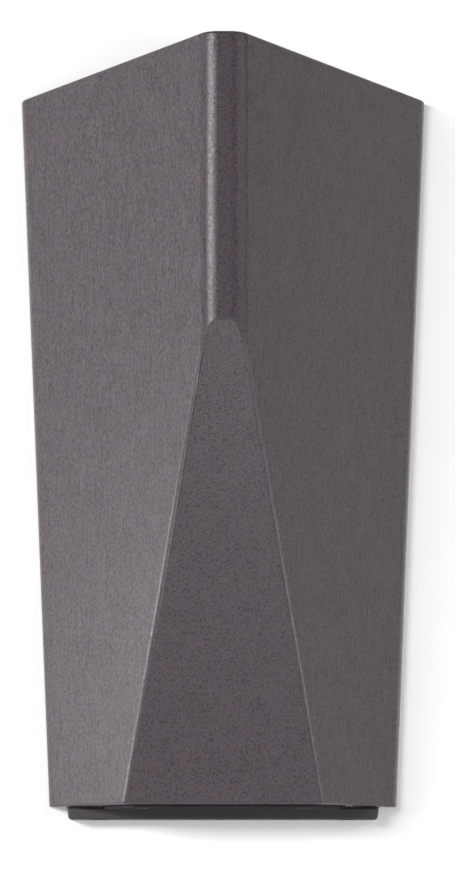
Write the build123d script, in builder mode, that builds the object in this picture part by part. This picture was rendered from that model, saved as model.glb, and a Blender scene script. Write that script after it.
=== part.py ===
from build123d import *

import os
from math import atan, cos, hypot, radians, sin, tan

# Outdoor wall light that shines down: a tapered, faceted die-cast housing over a wall base.
# All lengths are in millimetres. X runs to the right, the wall is the plane Y = 0 and the
# light stands in front of it at -Y. Z is up, from the line of the two wall screws. Heights
# in the names below are measured from the housing's lower rim, depths from the wall.

# Housing: slanting sides that meet in a narrow nose, cut below by a long triangular facet
housing_height = 222.4
width_top = 128.0
width_bottom = 106.2
depth_top = 80.0
return_depth = 3.4
return_radius = 7.0
nose_width = 10.3
nose_radius = 6.5
facet_depth = 34.4
facet_height = 137.5
facet_radius = 1.8
roof_edge_radius = 0.8
rim_edge_radius = 0.6
housing_wall = 3.5
roof_wall = 3.5
rear_gap = 1.0
stiffener_height_shares = (0.257, 0.55, 0.807)
stiffener_width = 4.5
stiffener_thickness = 2.5
stiffener_gap = 0.3
least_nose_half = 0.4

# Place of the wall screws, which is the origin of the frame
screw_height = 113.0
screw_spacing = 80.0
screw_slot_length = 10.0
screw_slot_width = 5.0
screw_pad_margin = 3.0
screw_pad_thickness = 1.5

# Wall base: a shallow tray inside the housing, with a lip that shows below the rim
base_gap = 1.7
base_wall = 2.5
back_wall = 3.0
tray_depth = 14.0
lip_drop = 3.9
lip_depth = 10.0
lip_gap = 0.3
lip_taper = 0.6
lip_corner_radius = 0.8
lip_edge_radius = 0.7
lip_inset = 0.5
tray_corner_radius = 2.0

# Seals: a foam gasket against the wall and a rubber band between base and housing
gasket_margin = 4.0
gasket_width = 3.2
gasket_thickness = 1.5
seal_rear = 1.3
seal_width = 2.0
seal_groove_depth = 1.0
seal_gap = 0.2
seal_foot_height = 1.0
fit_gap = 0.1

# Cable entry through the back wall
cable_drop = 21.0
cable_hole_radius = 8.0
cable_bore_radius = 4.0
cable_flange_radius = 11.0
cable_flange_thickness = 1.6
cable_cone_length = 3.5
cable_cone_radius = 6.0

# Locking of the housing: forked tabs under bosses of the base, screws from below
lock_spacing = 75.0
lock_depth = 6.0
lock_screw_radius = 1.5
lock_screw_length = 11.0
lock_head_radius = 2.8
lock_head_height = 2.0
lock_head_rise = 0.4
lock_washer_radius = 3.0
lock_washer_thickness = 0.8
lock_access_radius = 3.3
lock_boss_radius = 4.0
lock_boss_height = 10.0
lock_slot_width = 3.6
tab_thickness = 3.0
tab_side = 2.5
tab_front = 5.0
tab_rear = 2.2
tab_gap = 0.3

# Locating pins at the top and the sockets that slide over them
pin_drop = 14.5
pin_margin = 9.65
pin_radius = 2.0
pin_seat = 8.0
pin_reach = 9.0
pin_gap = 0.1
pin_boss_radius = 4.0
pin_tip_chamfer = 0.6
socket_radius = 4.5
socket_gap = 1.5
socket_length = 11.0
socket_web = 3.0

# Screws: one clearance in every thread, a hexagon recess in every head
thread_gap = 0.05
thread_end_gap = 0.3
clearance_gap = 0.25
head_recess_share = 0.5
head_recess_depth_share = 0.6
head_edge_share = 0.2

# Light chamber: cast aluminium, open below, behind the facet's lower part
frame_gap = 2.5
rear_corner_spacing = 56.6
rear_slant = 30.0
chamber_gap = 1.5
chamber_foot = 4.0
chamber_height = 35.0
chamber_wall = 2.5
chamber_roof = 3.0
chamber_corner_radius = 1.5
chamber_inner_radius = 0.8
chamber_side_gap = 1.0
fin_count = 5
fin_gap = 1.4
fin_height = 7.0
fin_thickness = 1.8
ear_width = 9.0
ear_height = 13.0
ear_thickness = 3.0
ear_corner_radius = 3.0
ear_screw_margin = 5.2
ear_screw_height = 8.0
chamber_boss_radius = 4.0
chamber_screw_radius = 2.0
chamber_screw_length = 9.0
chamber_head_radius = 3.4
chamber_head_height = 2.4

# Optics: frame, frosted diffuser, gasket and reflector, all below the light source
optic_frame_drop = 1.0
flange_gap = 0.5
optic_corner_radius = 1.5
diffuser_screw_web = 1.2
diffuser_border = 2.2
diffuser_thickness = 2.4
diffuser_gap = 0.15
window_border = 1.7
optic_gasket_overlap = 1.5
optic_gasket_thickness = 1.0
frame_screw_margin = 4.0
frame_screw_radius = 1.5
frame_screw_length = 12.0
frame_head_radius = 2.6
frame_head_height = 1.8
frame_post_radius = 2.9
frame_post_height = 14.0
reflector_wall = 1.0
reflector_throat_gap = 0.8
reflector_throat_side_gap = 1.3
reflector_flange = 1.2
reflector_gap = 0.1

# Light source: a metal-core board on a thermal pad
board_end_gap = 0.4
board_side_gap = 1.4
board_thickness = 1.4
pad_thickness = 0.5
package_count = 5
package_length = 3.4
package_width = 2.8
package_thickness = 0.7
board_screw_gap = 0.55
board_reflector_gap = 1.1
board_screw_radius = 1.0
board_screw_length = 4.0
board_head_radius = 1.8
board_head_height = 1.2

# Rubber grommet where the light source's leads enter the chamber
lead_entry_margin = 3.6
lead_hole_length = 7.6
lead_hole_width = 4.4
grommet_flange_width = 1.3
grommet_flange_thickness = 1.2

# Driver: a potted box with two ears, upright above the terminal block
driver_headroom = 27.4
driver_length = 70.0
driver_width = 29.0
driver_rear = 4.0
driver_depth = 16.5
driver_corner_radius = 2.0
driver_lid_thickness = 2.0
driver_lid_edge_radius = 0.8
driver_ear_width = 5.8
driver_ear_height = 9.0
driver_ear_thickness = 3.0
driver_ear_radius = 2.5
driver_screw_radius = 1.5
driver_screw_length = 5.5
driver_head_radius = 2.4
driver_head_height = 1.8
driver_boss_radius = 3.5

# Terminal block with three poles
terminal_wiring_gap = 20.0
terminal_height = 18.0
terminal_pitch = 11.0
terminal_poles = 3
terminal_rear = 4.0
terminal_base_thickness = 3.5
terminal_barrel_radius = 4.4
terminal_axis_depth = 11.0
terminal_tower_width = 6.0
terminal_tower_depth = 17.5
insert_radius = 2.6
insert_bore_radius = 1.5
insert_length = 15.0
terminal_screw_radius = 1.4
terminal_screw_length = 3.4
terminal_head_radius = 1.9
terminal_head_height = 1.2
terminal_screw_spacing = 8.0
terminal_fixing_radius = 1.25
terminal_fixing_length = 6.0
terminal_fixing_head = 2.0
terminal_fixing_head_height = 1.6

# Earth connection of the base
earth_x = 24.0
earth_rise = 9.0
earth_boss_radius = 4.5
earth_boss_depth = 8.0
earth_screw_radius = 2.0
earth_screw_length = 7.0
earth_head_radius = 3.4
earth_head_height = 2.2
earth_washer_radius = 4.2
earth_washer_thickness = 0.8
tag_radius = 4.0
tag_thickness = 0.8
tag_neck_width = 2.6
tag_neck_length = 3.0
tag_barrel_radius = 1.7
tag_barrel_length = 5.5

# Leads
lead_radius = 0.9
lead_pitch = 3.2
lead_hole_gap = 0.15
lead_tuck = 4.0
lead_end = 0.8
bend_share = 0.45

# Cuts run this far past the faces they open
overrun = 1.0

# Sizes worked out from the ones above
nose_half = nose_width / 2
side_slope = (depth_top - return_depth) / (width_top / 2 - nose_half)
side_stretch = hypot(1, side_slope) / side_slope
base_inset = housing_wall + base_gap
base_top = housing_height - roof_wall - base_gap
pin_height = housing_height - pin_drop
driver_foot_height = housing_height - driver_headroom - driver_length
terminal_foot_height = driver_foot_height - terminal_wiring_gap - terminal_height
cable_height = terminal_foot_height - cable_drop
earth_height = driver_foot_height + earth_rise
tab_bottom = lock_head_rise + lock_washer_thickness + fit_gap
lock_x = lock_spacing / 2
tab_inner_x = lock_x - lock_slot_width / 2 - tab_side
frame_top = chamber_foot - optic_gasket_thickness
frame_seat = frame_head_height + clearance_gap - optic_frame_drop


def half_width(height):
    """Half the outer width of the housing at a height above its rim."""
    return (width_bottom + (width_top - width_bottom) * height / housing_height) / 2


def nose_depth(height):
    """Depth of the flat nose at a height above the rim."""
    return return_depth + (half_width(height) - nose_half) * side_slope


def side_x(height, depth, inset):
    """X of a slanting side at a height and depth, moved inwards by the inset."""
    return half_width(height) - inset * side_stretch - (depth - return_depth) / side_slope


def side_depth(height, x, inset):
    """Depth of a slanting side at a height and X, moved inwards by the inset."""
    return return_depth + (half_width(height) - inset * side_stretch - x) * side_slope


def level(height):
    """Horizontal plane at a height above the rim."""
    return Plane.XY.offset(height - screw_height)


def underside(height):
    """The same level seen from below: X to the right, then depth."""
    return Plane(origin=level(height).origin, x_dir=(1, 0, 0), z_dir=(0, 0, -1))


def upright(depth):
    """Plane parallel to the wall at a depth in front of it; its Y is the height."""
    return Plane.XZ.offset(depth)


def up(height):
    """Height above the rim as a Z value."""
    return height - screw_height


def both_sides(x, y):
    """A point and its mirror image across the middle plane."""
    return [(-x, y), (x, y)]


def plan_points(height, inset, rear):
    """Corners of the housing's plan at a height, with every side moved in by the inset.

    Where the slanting sides meet behind the nose, the plan ends there instead.
    """
    side = half_width(height) - inset
    bend = return_depth - inset * (side_stretch - 1) * side_slope
    nose = max(side_x(height, nose_depth(height) - inset, inset), least_nose_half)
    front = min(nose_depth(height) - inset, side_depth(height, nose, inset))
    right = [(side, rear), (side, -bend), (nose, -front)]
    return right + [(-x, y) for x, y in reversed(right)]


def tapered_block(inset, low, high, rear=0.0, nose_round=0.0, bend_round=0.0):
    """Solid between two heights whose sides follow the housing at the inset."""
    with BuildPart() as block:
        for height in (low, high):
            with BuildSketch(level(height)):
                with BuildLine():
                    Polyline(*plan_points(height, inset, rear), close=True)
                make_face()
        loft(ruled=True)
        if nose_round:
            tall = block.edges().filter_by(lambda edge: edge.bounding_box().size.Z > (high - low) / 2)
            fillet(tall.sort_by(Axis.Y)[0:2], nose_round)
        if bend_round:
            tall = block.edges().filter_by(lambda edge: edge.bounding_box().size.Z > (high - low) / 2)
            fillet(tall.sort_by(Axis.Y)[-4:-2], bend_round)
    return block.part


facet_angle = atan((nose_depth(facet_height) - facet_depth) / facet_height)
facet_normal = Vector(0, -cos(facet_angle), -sin(facet_angle))
facet_foot = Vector(0, -facet_depth, up(0))


def facet_plane(inset):
    """Plane of the facet moved inwards; its normal points out and down."""
    return Plane(origin=facet_foot - facet_normal * inset, x_dir=(1, 0, 0), z_dir=facet_normal)


def faceted_block(inset, low, high, rear=0.0, nose_round=0.0, bend_round=0.0):
    """The tapered block with the facet cut off."""
    with BuildPart() as block:
        add(tapered_block(inset, low, high, rear, nose_round, bend_round))
        split(bisect_by=facet_plane(inset), keep=Keep.BOTTOM)
    return block.part


def machine_screw(radius, length, head_radius, head_height):
    """Screw along Z whose head stands on Z = 0, with a rounded rim and a hexagon recess."""
    with BuildPart() as screw:
        with BuildSketch():
            Circle(head_radius)
        extrude(amount=head_height)
        fillet(screw.edges().group_by(Axis.Z)[-1], head_height * head_edge_share)
        with BuildSketch():
            Circle(radius)
        extrude(amount=-length)
        with BuildSketch(Plane.XY.offset(head_height)):
            RegularPolygon(head_radius * head_recess_share, 6)
        extrude(amount=-head_height * head_recess_depth_share, mode=Mode.SUBTRACT)
    return screw.part


def thread_depth(screw_length, clamped):
    """Depth of a blind threaded hole for a screw that clamps the given thickness."""
    return screw_length - clamped + thread_end_gap


def corner_radii(points):
    """As large an arc at each corner of a lead as its two runs leave room for."""
    radii = []
    for before, corner, after in zip(points, points[1:], points[2:]):
        arriving = Vector(*corner) - Vector(*before)
        leaving = Vector(*after) - Vector(*corner)
        turn = radians(arriving.get_angle(leaving))
        shorter = min(arriving.length, leaving.length)
        radii.append(bend_share * shorter / tan(turn / 2))
    return radii


# Solid that reaches to the middle of the housing's wall: what is cast inside ends there
wall_core = faceted_block(housing_wall / 2, 0, housing_height - roof_wall / 2)

# Reach of the inner ribs
rib_hollow = faceted_block(housing_wall + stiffener_width, -overrun, housing_height, rear=overrun)

# Ribs that run round the inside of the housing and stop in front of the tray
with BuildPart() as stiffeners:
    for share in stiffener_height_shares:
        with BuildSketch(level(housing_height * share)):
            Rectangle(width_top, 2 * depth_top)
        extrude(amount=stiffener_thickness)
    split(bisect_by=upright(tray_depth + stiffener_gap), keep=Keep.TOP)
    add(wall_core, mode=Mode.INTERSECT)
    add(rib_hollow, mode=Mode.SUBTRACT)

# Forked tabs beside the rim, each open towards the wall, under the base's locking bosses
tab_rear_depth = lock_depth - tab_rear
tab_front_depth = lock_depth + tab_front
with BuildPart() as tabs:
    with BuildSketch(level(tab_bottom)):
        for side in (-1, 1):
            tab_middle = side * (tab_inner_x + half_width(0)) / 2
            with Locations((tab_middle, -(tab_rear_depth + tab_front_depth) / 2)):
                Rectangle(half_width(0) - tab_inner_x, tab_front_depth - tab_rear_depth)
        with Locations(*both_sides(lock_x, -lock_depth)):
            Circle(lock_slot_width / 2, mode=Mode.SUBTRACT)
        with Locations(*both_sides(lock_x, 0)):
            Rectangle(lock_slot_width, 2 * lock_depth, mode=Mode.SUBTRACT)
    extrude(amount=tab_thickness)
    add(wall_core, mode=Mode.INTERSECT)

# Sockets under the roof that slide over the locating pins
socket_rear = tray_depth + socket_gap
pin_x = side_x(pin_height, tray_depth, base_inset + base_wall) - pin_margin
pin_points = both_sides(pin_x, up(pin_height))
with BuildPart() as sockets:
    with BuildSketch(upright(socket_rear)):
        with Locations(*pin_points):
            Circle(socket_radius)
        with Locations(*both_sides(pin_x, up((pin_height + housing_height) / 2))):
            Rectangle(socket_web, housing_height - pin_height)
    extrude(amount=socket_length)
    add(wall_core, mode=Mode.INTERSECT)
    with BuildSketch(upright(socket_rear)):
        with Locations(*pin_points):
            Circle(pin_radius + pin_gap)
    extrude(amount=socket_length - socket_gap, mode=Mode.SUBTRACT)

# The housing's outer skin and the room inside it
housing_skin = faceted_block(0, 0, housing_height, 0, nose_radius, return_radius)
housing_room = faceted_block(
    housing_wall, -overrun, housing_height - roof_wall, overrun, nose_radius - housing_wall
)

with BuildPart() as front_housing:
    add(housing_skin)
    facet = front_housing.faces().sort_by(SortBy.AREA).filter_by(facet_plane(0))[0]
    rim = facet.edges().sort_by(Axis.Z)[0]
    fillet(facet.edges() - ShapeList([rim]), facet_radius)
    roof = front_housing.faces().sort_by(Axis.Z)[-1]
    back_edge = roof.edges().sort_by(Axis.Y)[-1]
    fillet(roof.edges() - ShapeList([back_edge]), roof_edge_radius)
    foot = front_housing.faces().sort_by(Axis.Z)[0]
    back_edge = foot.edges().sort_by(Axis.Y)[-1]
    fillet(foot.edges() - ShapeList([back_edge]), rim_edge_radius)
    add(housing_room, mode=Mode.SUBTRACT)
    split(bisect_by=upright(rear_gap), keep=Keep.TOP)
    add(stiffeners.part)
    add(tabs.part)
    add(sockets.part)


# Wall base

# Lip below the rim: a straight bar whose ends taper a little downwards
lip_half = half_width(-lip_gap) - base_inset - lip_inset
with BuildPart() as lip:
    with BuildSketch(upright(0)) as lip_end:
        with BuildLine():
            Polyline(
                (lip_half, up(-lip_gap)),
                (lip_half - lip_taper, up(-lip_drop)),
                (lip_taper - lip_half, up(-lip_drop)),
                (-lip_half, up(-lip_gap)),
                close=True,
            )
        make_face()
        fillet(lip_end.vertices().group_by(Axis.Z)[0], lip_corner_radius)
    extrude(amount=lip_depth)
    front = lip.faces().sort_by(Axis.Y)[0]
    top_edge = front.edges().sort_by(Axis.Z)[-1]
    fillet(front.edges() - ShapeList([top_edge]), lip_edge_radius)

# Way of the forked tabs under the locking bosses
passage_top = tab_bottom + tab_thickness + tab_gap
passage_inner_x = tab_inner_x - chamber_side_gap / 2
lock_boss_foot = passage_top

chamber_rear = lip_depth + frame_gap
chamber_half = tab_inner_x - chamber_side_gap
ear_x = chamber_half - ear_screw_margin
ear_screw_points = both_sides(ear_x, up(chamber_foot + chamber_height + ear_screw_height))
driver_screw_x = driver_width / 2 + driver_ear_width / 2
driver_middle = driver_foot_height + driver_length / 2
driver_screw_points = both_sides(driver_screw_x, up(driver_middle))
terminal_middle = terminal_foot_height + terminal_height / 2
terminal_width = terminal_poles * terminal_pitch
terminal_fixing_points = both_sides(terminal_pitch / 2, up(terminal_middle))
wall_screw_points = both_sides(screw_spacing / 2, up(screw_height))
earth_point = (earth_x, up(earth_height))


def seal_band(outer_inset, inner_inset, rear, front, foot):
    """Band round the sides and top between two insets and two depths, open at the foot."""
    outer_top = housing_height - roof_wall - (outer_inset - housing_wall)
    inner_top = housing_height - roof_wall - (inner_inset - housing_wall)
    with BuildPart() as band:
        add(tapered_block(outer_inset, foot, outer_top))
        add(tapered_block(inner_inset, foot - overrun, inner_top, overrun), mode=Mode.SUBTRACT)
        split(bisect_by=upright(rear), keep=Keep.TOP)
        split(bisect_by=upright(front), keep=Keep.BOTTOM)
    return band.part


def rear_outline(margin):
    """Corners of the base's rear face, moved in by the margin."""
    points = []
    for height in (-lip_drop + margin, base_top - margin):
        x = half_width(height) - base_inset - margin
        points.append((x, up(height)))
    return points + [(-x, z) for x, z in reversed(points)]


def rear_ring(margin, width, thickness, corner):
    """Flat ring in the base's rear face, from the wall forwards."""
    with BuildPart() as ring:
        for inset, mode in ((margin, Mode.ADD), (margin + width, Mode.SUBTRACT)):
            with BuildSketch(upright(0)) as outline:
                with BuildLine():
                    Polyline(*rear_outline(inset), close=True)
                make_face()
                fillet(outline.vertices(), corner)
            extrude(amount=thickness, mode=mode)
    return ring.part


gasket_groove = rear_ring(gasket_margin, gasket_width, gasket_thickness, tray_corner_radius)

tray_room = tapered_block(base_inset + base_wall, 0, base_top - base_wall)
seal_groove = seal_band(
    housing_wall, base_inset + seal_groove_depth, seal_rear, seal_rear + seal_width, seal_foot_height
)

with BuildPart() as tray_space:
    add(tray_room)
    split(bisect_by=upright(back_wall), keep=Keep.TOP)
    tall = tray_space.edges().filter_by(lambda edge: edge.bounding_box().size.Z > screw_height)
    fillet(tall.sort_by(Axis.X)[0], tray_corner_radius / 2)
    tall = tray_space.edges().filter_by(lambda edge: edge.bounding_box().size.Z > screw_height)
    fillet(tall.sort_by(Axis.X)[-1], tray_corner_radius / 2)

with BuildPart() as wall_base:
    add(tapered_block(base_inset, -lip_gap, base_top))
    split(bisect_by=upright(tray_depth), keep=Keep.BOTTOM)
    add(tray_space.part, mode=Mode.SUBTRACT)
    with BuildSketch(level(-lip_gap - overrun)):
        with Locations((0, -lip_depth)):
            Rectangle(width_bottom, tray_depth, align=(Align.CENTER, Align.MAX))
    extrude(amount=lip_gap + 2 * overrun, mode=Mode.SUBTRACT)
    add(lip.part)
    with BuildSketch(level(0)):
        for side in (-1, 1):
            passage_middle = side * (passage_inner_x + width_bottom / 2) / 2
            with Locations((passage_middle, -back_wall - (tray_depth + overrun) / 2)):
                Rectangle(width_bottom / 2 - passage_inner_x, tray_depth + overrun)
    extrude(amount=passage_top, mode=Mode.SUBTRACT)
    add(seal_groove, mode=Mode.SUBTRACT)
    add(gasket_groove, mode=Mode.SUBTRACT)

    with BuildSketch(level(lock_boss_foot)):
        with Locations(*both_sides(lock_x, -lock_depth)):
            Circle(lock_boss_radius)
        with Locations(*both_sides(lock_x, -(back_wall + lock_depth) / 2)):
            Rectangle(2 * lock_boss_radius, lock_depth - back_wall)
    extrude(amount=lock_boss_height)
    with BuildSketch(level(lock_boss_foot)):
        with Locations(*both_sides(lock_x, -lock_depth)):
            Circle(lock_screw_radius + thread_gap)
    extrude(amount=thread_depth(lock_screw_length, lock_boss_foot - lock_head_rise), mode=Mode.SUBTRACT)
    with BuildSketch(level(-lip_drop)):
        with Locations(*both_sides(lock_x, -lock_depth)):
            Circle(lock_access_radius)
    extrude(amount=lip_drop, mode=Mode.SUBTRACT)

    with BuildSketch(upright(back_wall)):
        with Locations(*ear_screw_points):
            Circle(chamber_boss_radius)
    extrude(amount=chamber_rear - back_wall)
    with BuildSketch(upright(chamber_rear)):
        with Locations(*ear_screw_points):
            Circle(chamber_screw_radius + thread_gap)
    extrude(amount=-thread_depth(chamber_screw_length, ear_thickness), mode=Mode.SUBTRACT)

    with BuildSketch(upright(back_wall)):
        with Locations(*driver_screw_points):
            Circle(driver_boss_radius)
    extrude(amount=driver_rear - back_wall)
    with BuildSketch(upright(driver_rear)):
        with Locations(*driver_screw_points):
            Circle(driver_screw_radius + thread_gap)
    extrude(amount=-thread_depth(driver_screw_length, driver_ear_thickness), mode=Mode.SUBTRACT)

    with BuildSketch(upright(back_wall)):
        with Locations((0, up(terminal_middle))):
            Rectangle(terminal_width, terminal_height)
    extrude(amount=terminal_rear - back_wall)
    with BuildSketch(upright(terminal_rear)):
        with Locations(*terminal_fixing_points):
            Circle(terminal_fixing_radius + thread_gap)
    fixing_thread = thread_depth(terminal_fixing_length, terminal_base_thickness)
    extrude(amount=-fixing_thread, mode=Mode.SUBTRACT)

    with BuildSketch(upright(back_wall)):
        with Locations(earth_point):
            Circle(earth_boss_radius)
    extrude(amount=earth_boss_depth - back_wall)
    with BuildSketch(upright(earth_boss_depth)):
        with Locations(earth_point):
            Circle(earth_screw_radius + thread_gap)
    earth_stack = tag_thickness + earth_washer_thickness
    extrude(amount=-thread_depth(earth_screw_length, earth_stack), mode=Mode.SUBTRACT)

    with BuildSketch(upright(back_wall)):
        with Locations(*pin_points):
            Circle(pin_boss_radius)
    extrude(amount=tray_depth - back_wall)
    with BuildSketch(upright(tray_depth)):
        with Locations(*pin_points):
            Circle(pin_radius)
    extrude(amount=-pin_seat, mode=Mode.SUBTRACT)

    with BuildSketch(upright(back_wall)):
        with Locations(*wall_screw_points):
            SlotOverall(
                screw_slot_length + 2 * screw_pad_margin, screw_slot_width + 2 * screw_pad_margin
            )
    extrude(amount=screw_pad_thickness)
    with BuildSketch(upright(0)):
        with Locations(*wall_screw_points):
            SlotOverall(screw_slot_length, screw_slot_width)
        with Locations((0, up(cable_height))):
            Circle(cable_hole_radius)
    extrude(amount=back_wall + screw_pad_thickness, mode=Mode.SUBTRACT)


with BuildPart() as wall_gasket:
    add(
        rear_ring(
            gasket_margin + fit_gap, gasket_width - 2 * fit_gap, gasket_thickness, tray_corner_radius
        )
    )

with BuildPart() as housing_seal:
    add(
        seal_band(
            housing_wall + seal_gap,
            base_inset + seal_groove_depth,
            seal_rear + fit_gap,
            seal_rear + seal_width - fit_gap,
            seal_foot_height,
        )
    )

# Rubber grommet: a flange inside the base and a cone that grips the cable
cable_plane = Plane(origin=(0, 0, up(cable_height)), x_dir=(0, -1, 0), z_dir=(1, 0, 0))
flange_front = back_wall + cable_flange_thickness
cone_front = flange_front + cable_cone_length
with BuildPart() as cable_grommet:
    with BuildSketch(cable_plane):
        with BuildLine():
            Polyline(
                (0, cable_bore_radius),
                (0, cable_hole_radius - fit_gap),
                (back_wall, cable_hole_radius - fit_gap),
                (back_wall, cable_flange_radius),
                (flange_front, cable_flange_radius),
                (flange_front, cable_hole_radius),
                (cone_front, cable_cone_radius),
                (cone_front, cable_bore_radius),
                close=True,
            )
        make_face()
    revolve(axis=Axis(cable_plane.origin, (0, 1, 0)))


# Locking and locating hardware
lock_screw = machine_screw(lock_screw_radius, lock_screw_length, lock_head_radius, lock_head_height)
with BuildPart() as locking_screws:
    with Locations(underside(lock_head_rise)):
        with Locations(*both_sides(lock_x, lock_depth)):
            add(lock_screw)

with BuildPart() as locking_washers:
    with BuildSketch(level(lock_head_rise)):
        with Locations(*both_sides(lock_x, -lock_depth)):
            Circle(lock_washer_radius)
            Circle(lock_screw_radius + clearance_gap, mode=Mode.SUBTRACT)
    extrude(amount=lock_washer_thickness)

with BuildPart() as locating_pins:
    with BuildSketch(upright(tray_depth - pin_seat + fit_gap)):
        with Locations(*pin_points):
            Circle(pin_radius)
    extrude(amount=pin_seat - fit_gap + pin_reach)
    chamfer(locating_pins.edges().group_by(Axis.Y)[0], pin_tip_chamfer)


# Light chamber and optics

chamber_inset = housing_wall + chamber_gap
chamber_front = facet_depth - housing_wall / cos(facet_angle) - chamber_gap
chamber_middle = (chamber_front + chamber_rear) / 2
chamber_corner = rear_corner_spacing / 2
rear_slope = tan(radians(rear_slant))
chamber_top = chamber_foot + chamber_height
chamber_ceiling = chamber_top - chamber_roof

# Along the chamber, from its slanting sides inwards: frame screws and diffuser below, above
# them the board's ends, its leads and the fins beside them, then its screws, the reflector's
# throat and the packages
frame_screw_x = min(
    chamber_half - frame_screw_margin, side_x(0, chamber_middle, chamber_inset + frame_screw_margin)
)
diffuser_length = 2 * (
    frame_screw_x - frame_head_radius - clearance_gap - diffuser_gap - diffuser_screw_web
)
diffuser_width = chamber_front - chamber_rear - 2 * diffuser_border
board_width = chamber_front - chamber_rear - 2 * (chamber_wall + board_side_gap)
board_side_depth = chamber_middle + board_width / 2
room_side = side_x(0, board_side_depth, chamber_inset + chamber_wall)
board_half = min(chamber_half - chamber_wall, room_side) - board_end_gap
lead_entry_x = lead_entry_margin - board_half
grommet_side = -lead_entry_x - lead_hole_length / 2 - grommet_flange_width
fin_pitch = 2 * (grommet_side - fin_gap - fin_thickness / 2) / (fin_count - 1)
positive_x = lead_entry_x - lead_pitch / 2
negative_x = lead_entry_x + lead_pitch / 2
lead_hole_side = -negative_x - lead_radius - lead_hole_gap
board_screw_x = lead_hole_side - board_head_radius - board_screw_gap
throat_half = board_screw_x - board_head_radius - reflector_wall - board_reflector_gap
package_pitch = (2 * (throat_half - reflector_throat_gap) - package_length) / (package_count - 1)
reflector_mouth_length = diffuser_length - 2 * optic_gasket_overlap
reflector_mouth_width = diffuser_width - 2 * window_border
reflector_throat_width = package_width + 2 * reflector_throat_side_gap


def chamber_points():
    """Corners of the light chamber's plan, which follows the housing in front."""
    slant_run = (chamber_half - chamber_corner) * rear_slope
    right = [
        (side_x(0, chamber_front, chamber_inset), -chamber_front),
        (chamber_half, -side_depth(0, chamber_half, chamber_inset)),
        (chamber_half, -chamber_rear - slant_run),
        (chamber_corner, -chamber_rear),
    ]
    return right + [(-x, y) for x, y in reversed(right)]


def flange_points():
    """Corners of the frame's flange, the chamber's plan with its sides run on to a point."""
    reach = (side_depth(0, chamber_corner, chamber_inset) - chamber_rear) / (side_slope + rear_slope)
    right = [
        (side_x(0, chamber_front, chamber_inset), -chamber_front),
        (chamber_corner + reach, -chamber_rear - reach * rear_slope),
        (chamber_corner, -chamber_rear),
    ]
    return right + [(-x, y) for x, y in reversed(right)]


def rounded_prism(points, foot, height, radius, margin=0.0):
    """Upright prism of a plan, moved in by the margin, with rounded corners."""
    with BuildPart() as prism:
        with BuildSketch(level(foot)):
            with BuildLine():
                Polyline(*points, close=True)
            make_face()
            if margin:
                offset(amount=-margin, kind=Kind.INTERSECTION)
        extrude(amount=height)
        fillet(prism.edges().filter_by(Axis.Z), radius)
    return prism.part


def chamber_prism(foot, height, margin=0.0, radius=chamber_corner_radius):
    """Upright prism of the chamber's plan."""
    return rounded_prism(chamber_points(), foot, height, radius, margin)


post_points = both_sides(frame_screw_x, -chamber_middle)
board_screw_points = both_sides(board_screw_x, -chamber_middle)
lead_points = [(positive_x, -chamber_middle), (negative_x, -chamber_middle)]

with BuildPart() as light_chamber:
    add(chamber_prism(chamber_foot, chamber_height))
    room_height = chamber_height - chamber_roof + overrun
    room = chamber_prism(chamber_foot - overrun, room_height, chamber_wall, chamber_inner_radius)
    add(room, mode=Mode.SUBTRACT)
    with BuildSketch(level(chamber_foot)):
        with Locations(*post_points):
            Circle(frame_post_radius)
    extrude(amount=frame_post_height)
    with BuildSketch(level(chamber_foot)):
        with Locations(*post_points):
            Circle(frame_screw_radius + thread_gap)
    extrude(amount=thread_depth(frame_screw_length, chamber_foot - frame_seat), mode=Mode.SUBTRACT)
    with BuildSketch(level(chamber_top)):
        with Locations((0, -chamber_middle)):
            with GridLocations(fin_pitch, 0, fin_count, 1):
                Rectangle(fin_thickness, chamber_front - chamber_rear)
    extrude(amount=fin_height)
    with BuildSketch(upright(chamber_rear)) as ears:
        with Locations(*both_sides(ear_x, up(chamber_ceiling))):
            Rectangle(ear_width, chamber_roof + ear_height, align=(Align.CENTER, Align.MIN))
        fillet(ears.vertices().group_by(Axis.Z)[-1], ear_corner_radius)
        with Locations(*ear_screw_points):
            Circle(chamber_screw_radius + clearance_gap, mode=Mode.SUBTRACT)
    extrude(amount=ear_thickness)
    with BuildSketch(level(chamber_ceiling - overrun)):
        with Locations((lead_entry_x, -chamber_middle)):
            SlotOverall(lead_hole_length, lead_hole_width)
    extrude(amount=chamber_roof + 2 * overrun, mode=Mode.SUBTRACT)
    with BuildSketch(level(chamber_ceiling)):
        with Locations(*board_screw_points):
            Circle(board_screw_radius + thread_gap)
    extrude(amount=thread_depth(board_screw_length, board_thickness + pad_thickness), mode=Mode.SUBTRACT)

chamber_screw = machine_screw(
    chamber_screw_radius, chamber_screw_length, chamber_head_radius, chamber_head_height
)
with BuildPart() as chamber_screws:
    with Locations(upright(chamber_rear + ear_thickness)):
        with Locations(*ear_screw_points):
            add(chamber_screw)

with BuildPart() as lead_grommet:
    with BuildSketch(level(chamber_ceiling)):
        with Locations((lead_entry_x, -chamber_middle)):
            SlotOverall(lead_hole_length - 2 * fit_gap, lead_hole_width - 2 * fit_gap)
    extrude(amount=chamber_roof)
    with BuildSketch(level(chamber_top)):
        with Locations((lead_entry_x, -chamber_middle)):
            SlotOverall(
                lead_hole_length + 2 * grommet_flange_width, lead_hole_width + 2 * grommet_flange_width
            )
    extrude(amount=grommet_flange_thickness)
    with BuildSketch(level(chamber_ceiling)):
        with Locations(*lead_points):
            Circle(lead_radius + fit_gap)
    extrude(amount=chamber_roof + grommet_flange_thickness, mode=Mode.SUBTRACT)


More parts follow.
